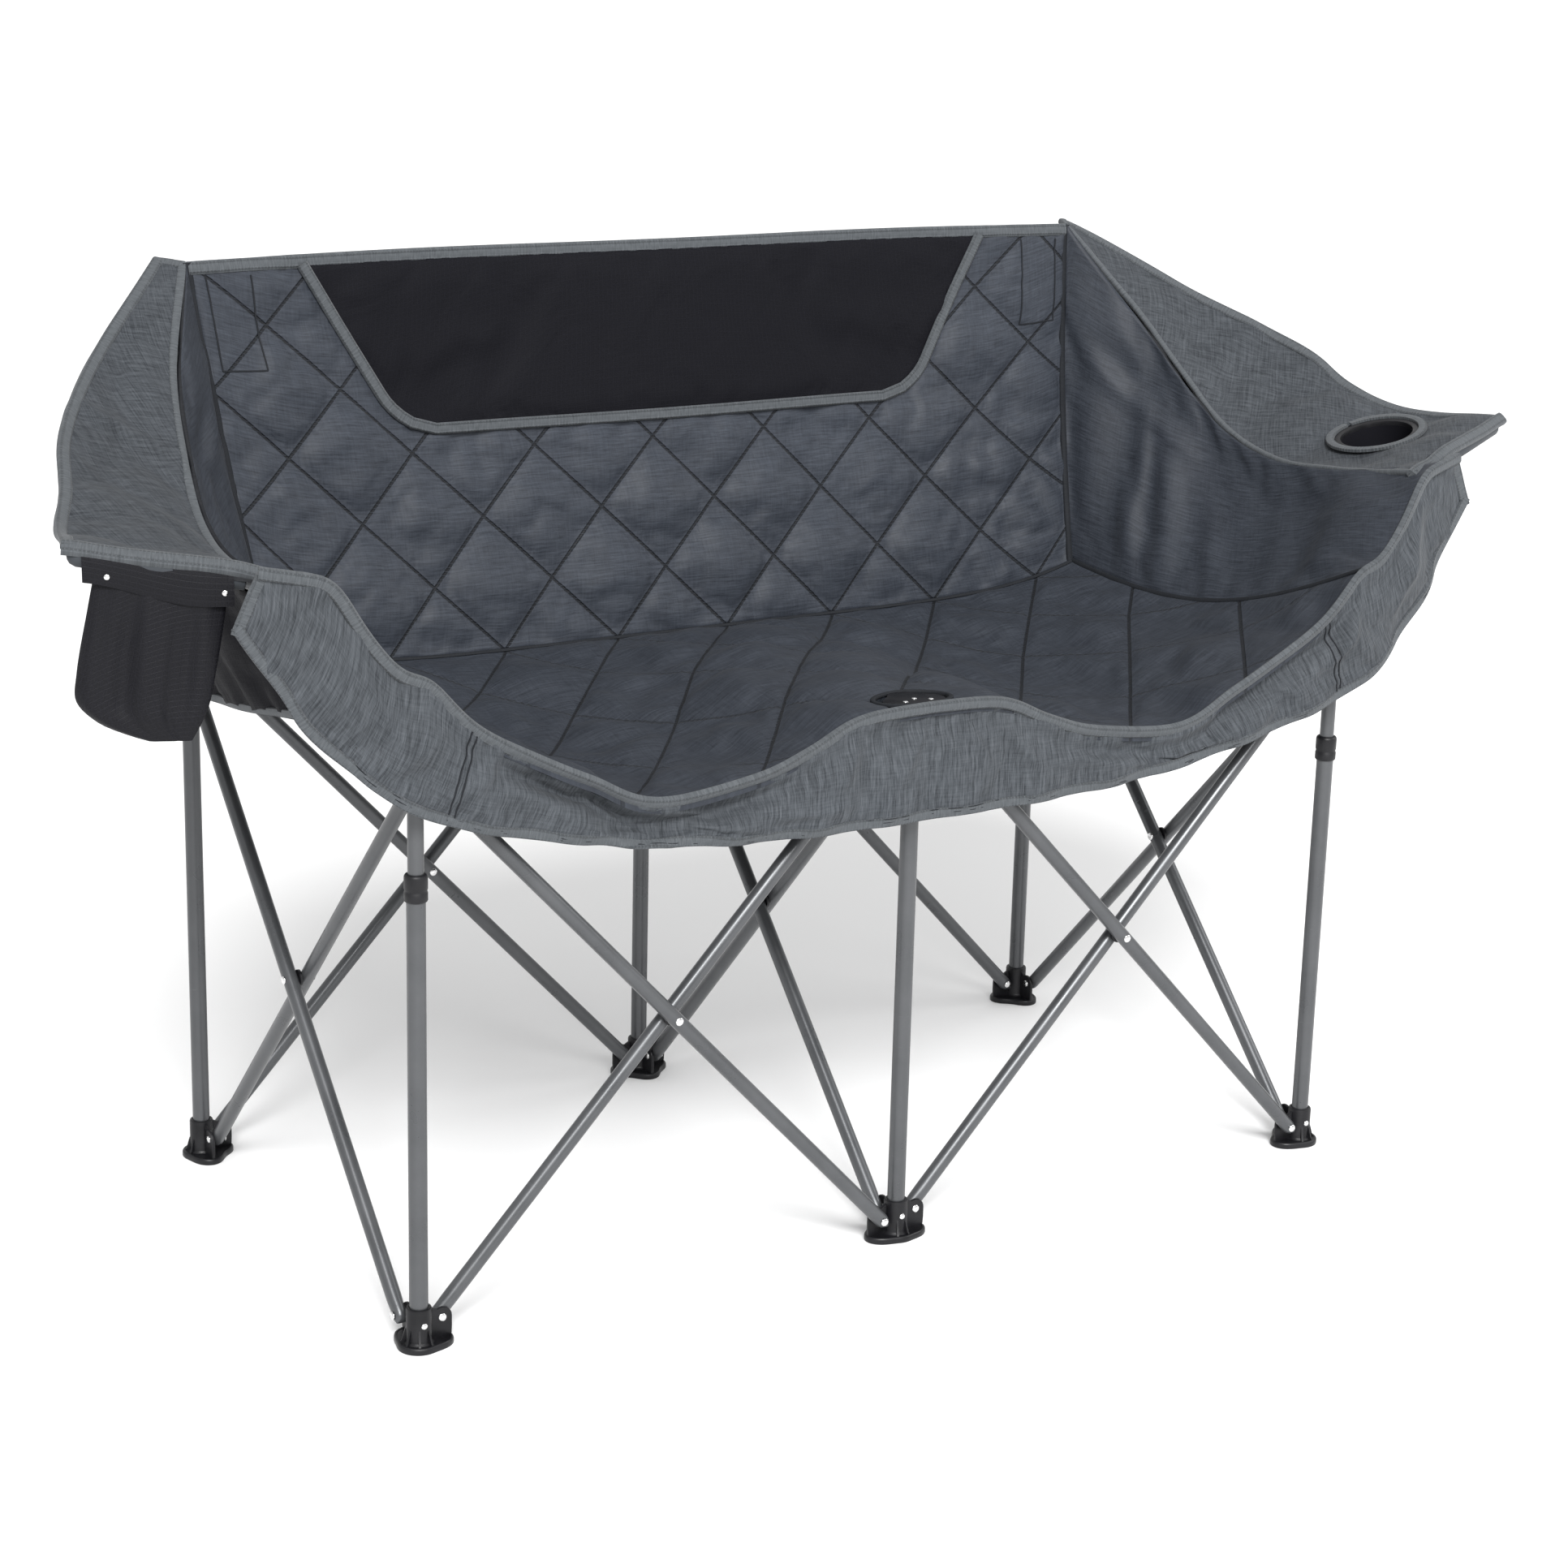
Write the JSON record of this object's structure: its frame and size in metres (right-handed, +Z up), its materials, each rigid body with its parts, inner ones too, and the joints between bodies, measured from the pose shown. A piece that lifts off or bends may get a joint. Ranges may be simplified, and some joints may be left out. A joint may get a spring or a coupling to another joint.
{
  "type": "folding camping loveseat",
  "caption": "Two-seat folding camping chair: grey steel scissor frame on six black feet, quilted slate seat and back with diamond stitching, padded arms, cup holder and side pocket.",
  "frame": {"origin": "on the ground, midway between the front and rear rows of feet and on the centre line", "axes": "+X to the right as seen from the front, -Y towards the front edge, +Z up"},
  "size_m": [1.76, 0.6333, 1.027],
  "materials": {
    "painted_tube": "semi-gloss grey powder coat",
    "black_plastic": "moulded black",
    "bright_rivet": "bright",
    "quilted_fabric": "slate, slight sheen",
    "heather_fabric": "grey heather",
    "black_fabric": "matt black"
  },
  "bodies": {
    "front_middle_leg": {"foot_front_middle": "black_plastic", "post_front_middle": "painted_tube", "collar_front_middle": "black_plastic"},
    "bar_side_middle_rising": {"bar_side_middle_rising": "painted_tube", "rivet_side_middle": "bright_rivet"},
    "bar_side_middle_falling": {"bar_side_middle_falling": "painted_tube"},
    "rear_middle_leg": {"foot_rear_middle": "black_plastic", "post_rear_middle": "painted_tube", "back_panel": "quilted_fabric", "head_panel": "black_fabric"},
    "rear_middle_hub": {"hub_rear_middle": "black_plastic"},
    "front_middle_hub": {"hub_front_middle": "black_plastic", "slide_tube_middle": "painted_tube", "front_valance": "heather_fabric"},
    "seat_front": {"seat_front": "quilted_fabric"},
    "seat_rear": {"seat_rear": "quilted_fabric"},
    "bar_front_left_falling": {"bar_front_left_falling": "painted_tube", "rivet_front_left": "bright_rivet"},
    "bar_front_left_rising": {"bar_front_left_rising": "painted_tube"},
    "front_left_leg": {"foot_front_left": "black_plastic", "post_front_left": "painted_tube", "collar_front_left": "black_plastic"},
    "front_left_hub": {"hub_front_left": "black_plastic", "arm_tube_left": "painted_tube"},
    "bar_front_right_rising": {"bar_front_right_rising": "painted_tube", "rivet_front_right": "bright_rivet"},
    "bar_front_right_falling": {"bar_front_right_falling": "painted_tube"},
    "front_right_leg": {"foot_front_right": "black_plastic", "post_front_right": "painted_tube", "collar_front_right": "black_plastic"},
    "front_right_hub": {"hub_front_right": "black_plastic", "arm_tube_right": "painted_tube"},
    "bar_rear_left_falling": {"bar_rear_left_falling": "painted_tube", "rivet_rear_left": "bright_rivet"},
    "bar_rear_left_rising": {"bar_rear_left_rising": "painted_tube"},
    "rear_left_leg": {"foot_rear_left": "black_plastic", "post_rear_left": "painted_tube", "arm_panel_left": "heather_fabric", "side_panel_left": "quilted_fabric", "outer_side_left": "black_fabric", "side_pocket": "black_fabric"},
    "rear_left_hub": {"hub_rear_left": "black_plastic"},
    "bar_rear_right_rising": {"bar_rear_right_rising": "painted_tube", "rivet_rear_right": "bright_rivet"},
    "bar_rear_right_falling": {"bar_rear_right_falling": "painted_tube"},
    "rear_right_leg": {"foot_rear_right": "black_plastic", "post_rear_right": "painted_tube", "arm_panel_right": "heather_fabric", "side_panel_right": "quilted_fabric", "outer_side_right": "black_fabric", "cup_holder": "black_fabric"},
    "rear_right_hub": {"hub_rear_right": "black_plastic"},
    "bar_side_left_rising": {"bar_side_left_rising": "painted_tube", "rivet_side_left": "bright_rivet"},
    "bar_side_left_falling": {"bar_side_left_falling": "painted_tube"},
    "bar_side_right_rising": {"bar_side_right_rising": "painted_tube", "rivet_side_right": "bright_rivet"},
    "bar_side_right_falling": {"bar_side_right_falling": "painted_tube"}
  },
  "joints": [
    {"name": "fold", "type": "hinge", "parent": "front_middle_leg", "child": "bar_side_middle_rising", "pos_m": [0, -0.26, 0.027], "axis": [1, 0, 0], "range_deg": [0, 39], "deforming": ["seat_front", "seat_rear", "back_panel", "head_panel", "side_panel_left", "side_panel_right", "arm_panel_left", "arm_panel_right", "front_valance", "cup_holder", "side_pocket", "outer_side_left", "outer_side_right"]},
    {"name": "side_middle_cross", "type": "hinge", "parent": "bar_side_middle_rising", "child": "bar_side_middle_falling", "pos_m": [0, 0, 0.301], "axis": [1, 0, 0], "range_deg": [-78, 0]},
    {"name": "rear_middle_foot_pivot", "type": "hinge", "parent": "bar_side_middle_falling", "child": "rear_middle_leg", "pos_m": [0, 0.26, 0.027], "axis": [1, 0, 0], "range_deg": [0, 39]},
    {"name": "rear_middle_hub_pivot", "type": "hinge", "parent": "bar_side_middle_rising", "child": "rear_middle_hub", "pos_m": [0, 0.26, 0.575], "axis": [1, 0, 0], "range_deg": [-39, 0]},
    {"name": "front_middle_hub_pivot", "type": "hinge", "parent": "bar_side_middle_falling", "child": "front_middle_hub", "pos_m": [0, -0.26, 0.575], "axis": [1, 0, 0], "range_deg": [0, 39]},
    {"name": "front_left_foot_link", "type": "hinge", "parent": "front_middle_leg", "child": "bar_front_left_falling", "pos_m": [-0.025, -0.285, 0.027], "axis": [0, 1, 0], "range_deg": [0, 39]},
    {"name": "front_left_cross", "type": "hinge", "parent": "bar_front_left_falling", "child": "bar_front_left_rising", "pos_m": [-0.285, -0.285, 0.301], "axis": [0, 1, 0], "range_deg": [-78, 0]},
    {"name": "front_left_foot_pivot", "type": "hinge", "parent": "bar_front_left_rising", "child": "front_left_leg", "pos_m": [-0.545, -0.285, 0.027], "axis": [0, 1, 0], "range_deg": [0, 39]},
    {"name": "front_left_hub_pivot", "type": "hinge", "parent": "bar_front_left_falling", "child": "front_left_hub", "pos_m": [-0.545, -0.285, 0.575], "axis": [0, 1, 0], "range_deg": [-39, 0]},
    {"name": "front_right_foot_link", "type": "hinge", "parent": "front_middle_leg", "child": "bar_front_right_rising", "pos_m": [0.025, -0.285, 0.027], "axis": [0, 1, 0], "range_deg": [-39, 0]},
    {"name": "front_right_cross", "type": "hinge", "parent": "bar_front_right_rising", "child": "bar_front_right_falling", "pos_m": [0.285, -0.285, 0.301], "axis": [0, 1, 0], "range_deg": [0, 78]},
    {"name": "front_right_foot_pivot", "type": "hinge", "parent": "bar_front_right_falling", "child": "front_right_leg", "pos_m": [0.545, -0.285, 0.027], "axis": [0, 1, 0], "range_deg": [-39, 0]},
    {"name": "front_right_hub_pivot", "type": "hinge", "parent": "bar_front_right_rising", "child": "front_right_hub", "pos_m": [0.545, -0.285, 0.575], "axis": [0, 1, 0], "range_deg": [0, 39]},
    {"name": "rear_left_foot_link", "type": "hinge", "parent": "rear_middle_leg", "child": "bar_rear_left_falling", "pos_m": [-0.025, 0.285, 0.027], "axis": [0, 1, 0], "range_deg": [0, 39]},
    {"name": "rear_left_cross", "type": "hinge", "parent": "bar_rear_left_falling", "child": "bar_rear_left_rising", "pos_m": [-0.285, 0.285, 0.301], "axis": [0, 1, 0], "range_deg": [-78, 0]},
    {"name": "rear_left_foot_pivot", "type": "hinge", "parent": "bar_rear_left_rising", "child": "rear_left_leg", "pos_m": [-0.545, 0.285, 0.027], "axis": [0, 1, 0], "range_deg": [0, 39]},
    {"name": "rear_left_hub_pivot", "type": "hinge", "parent": "bar_rear_left_falling", "child": "rear_left_hub", "pos_m": [-0.545, 0.285, 0.575], "axis": [0, 1, 0], "range_deg": [-39, 0]},
    {"name": "rear_right_foot_link", "type": "hinge", "parent": "rear_middle_leg", "child": "bar_rear_right_rising", "pos_m": [0.025, 0.285, 0.027], "axis": [0, 1, 0], "range_deg": [-39, 0]},
    {"name": "rear_right_cross", "type": "hinge", "parent": "bar_rear_right_rising", "child": "bar_rear_right_falling", "pos_m": [0.285, 0.285, 0.301], "axis": [0, 1, 0], "range_deg": [0, 78]},
    {"name": "rear_right_foot_pivot", "type": "hinge", "parent": "bar_rear_right_falling", "child": "rear_right_leg", "pos_m": [0.545, 0.285, 0.027], "axis": [0, 1, 0], "range_deg": [-39, 0]},
    {"name": "rear_right_hub_pivot", "type": "hinge", "parent": "bar_rear_right_rising", "child": "rear_right_hub", "pos_m": [0.545, 0.285, 0.575], "axis": [0, 1, 0], "range_deg": [0, 39]},
    {"name": "side_left_foot_link", "type": "hinge", "parent": "front_left_leg", "child": "bar_side_left_rising", "pos_m": [-0.57, -0.26, 0.027], "axis": [1, 0, 0], "range_deg": [0, 39]},
    {"name": "side_left_cross", "type": "hinge", "parent": "bar_side_left_rising", "child": "bar_side_left_falling", "pos_m": [-0.57, 0, 0.301], "axis": [1, 0, 0], "range_deg": [-78, 0]},
    {"name": "side_right_foot_link", "type": "hinge", "parent": "front_right_leg", "child": "bar_side_right_rising", "pos_m": [0.57, -0.26, 0.027], "axis": [1, 0, 0], "range_deg": [0, 39]},
    {"name": "side_right_cross", "type": "hinge", "parent": "bar_side_right_rising", "child": "bar_side_right_falling", "pos_m": [0.57, 0, 0.301], "axis": [1, 0, 0], "range_deg": [-78, 0]},
    {"name": "seat_front_fold", "type": "hinge", "parent": "front_middle_hub", "child": "seat_front", "pos_m": [0, -0.285, 0.59], "axis": [1, 0, 0], "range_deg": [-79.17, 0]},
    {"name": "seat_rear_fold", "type": "hinge", "parent": "rear_middle_hub", "child": "seat_rear", "pos_m": [0, 0.285, 0.59], "axis": [1, 0, 0], "range_deg": [0, 79.17]}
  ],
  "couplings": [
    {"joint": "side_middle_cross", "follows": "fold", "ratio": -2},
    {"joint": "rear_middle_foot_pivot", "follows": "fold", "ratio": 1},
    {"joint": "rear_middle_hub_pivot", "follows": "fold", "ratio": -1},
    {"joint": "front_middle_hub_pivot", "follows": "fold", "ratio": 1},
    {"joint": "front_left_foot_link", "follows": "fold", "ratio": 1},
    {"joint": "front_left_cross", "follows": "fold", "ratio": -2},
    {"joint": "front_left_foot_pivot", "follows": "fold", "ratio": 1},
    {"joint": "front_left_hub_pivot", "follows": "fold", "ratio": -1},
    {"joint": "front_right_foot_link", "follows": "fold", "ratio": -1},
    {"joint": "front_right_cross", "follows": "fold", "ratio": 2},
    {"joint": "front_right_foot_pivot", "follows": "fold", "ratio": -1},
    {"joint": "front_right_hub_pivot", "follows": "fold", "ratio": 1},
    {"joint": "rear_left_foot_link", "follows": "fold", "ratio": 1},
    {"joint": "rear_left_cross", "follows": "fold", "ratio": -2},
    {"joint": "rear_left_foot_pivot", "follows": "fold", "ratio": 1},
    {"joint": "rear_left_hub_pivot", "follows": "fold", "ratio": -1},
    {"joint": "rear_right_foot_link", "follows": "fold", "ratio": -1},
    {"joint": "rear_right_cross", "follows": "fold", "ratio": 2},
    {"joint": "rear_right_foot_pivot", "follows": "fold", "ratio": -1},
    {"joint": "rear_right_hub_pivot", "follows": "fold", "ratio": 1},
    {"joint": "side_left_foot_link", "follows": "fold", "ratio": 1},
    {"joint": "side_left_cross", "follows": "fold", "ratio": -2},
    {"joint": "side_right_foot_link", "follows": "fold", "ratio": 1},
    {"joint": "side_right_cross", "follows": "fold", "ratio": -2},
    {"joint": "seat_front_fold", "follows": "fold", "ratio": -2.03},
    {"joint": "seat_rear_fold", "follows": "fold", "ratio": 2.03}
  ]
}
